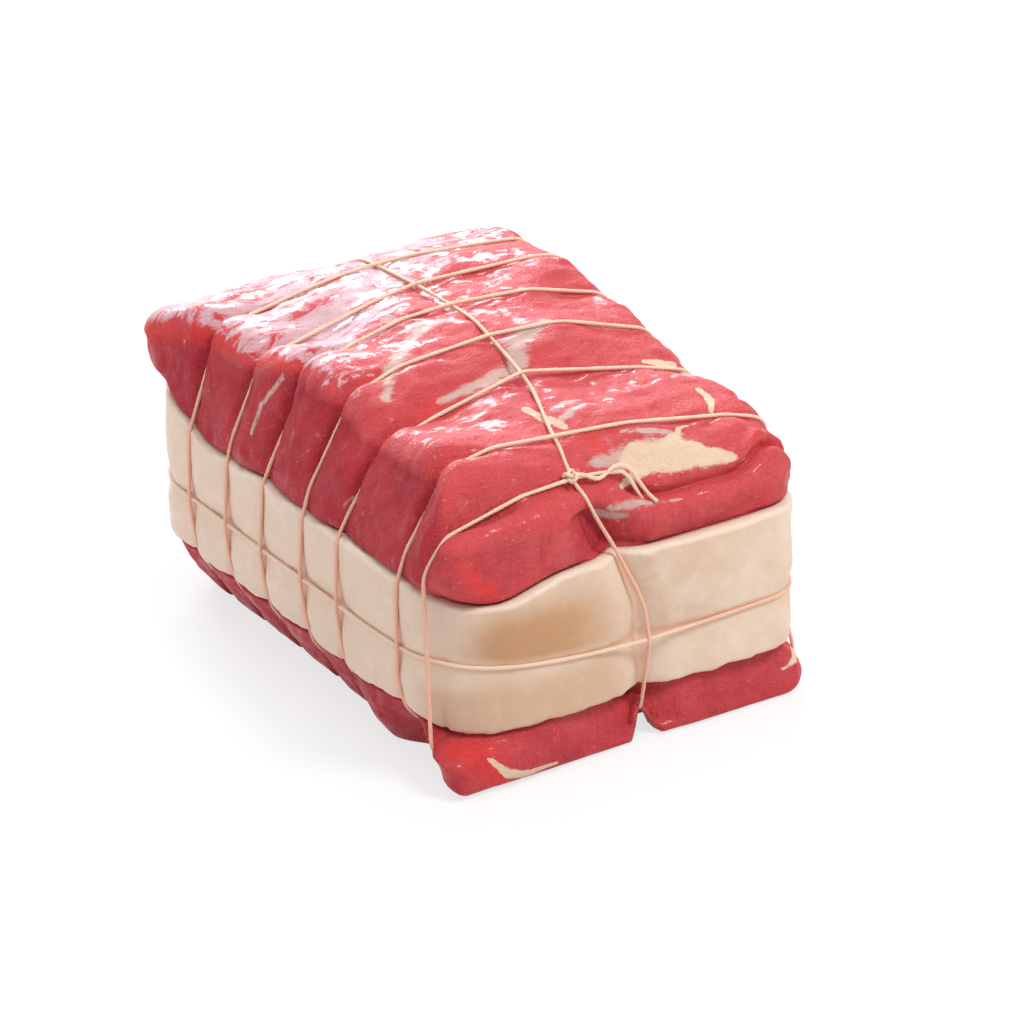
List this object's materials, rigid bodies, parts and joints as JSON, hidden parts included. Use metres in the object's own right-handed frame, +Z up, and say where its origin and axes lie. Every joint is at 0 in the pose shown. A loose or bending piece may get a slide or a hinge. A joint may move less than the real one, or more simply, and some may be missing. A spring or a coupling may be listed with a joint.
{
  "type": "roast beef joint",
  "caption": "Raw beef roasting joint, a block of red meat with a pale fat band tied round its sides and rounds of butcher's string over it.",
  "frame": {"origin": "centre of the flat base the joint rests on", "axes": "+X across the joint, +Y along it away from the knotted end, +Z up"},
  "size_m": [0.1392, 0.1908, 0.109],
  "materials": {
    "meat": "wet raw red meat with pale grain",
    "fat": "satin cream fat",
    "string": "twisted cotton, damp"
  },
  "bodies": {
    "root": {"meat": "meat", "fat_band": "fat", "string_girth_1": "string", "string_girth_2": "string", "string_girth_3": "string", "string_girth_4": "string", "string_girth_5": "string", "string_girth_6": "string", "string_girth_7": "string", "string_length": "string", "string_waist": "string"}
  },
  "joints": []
}
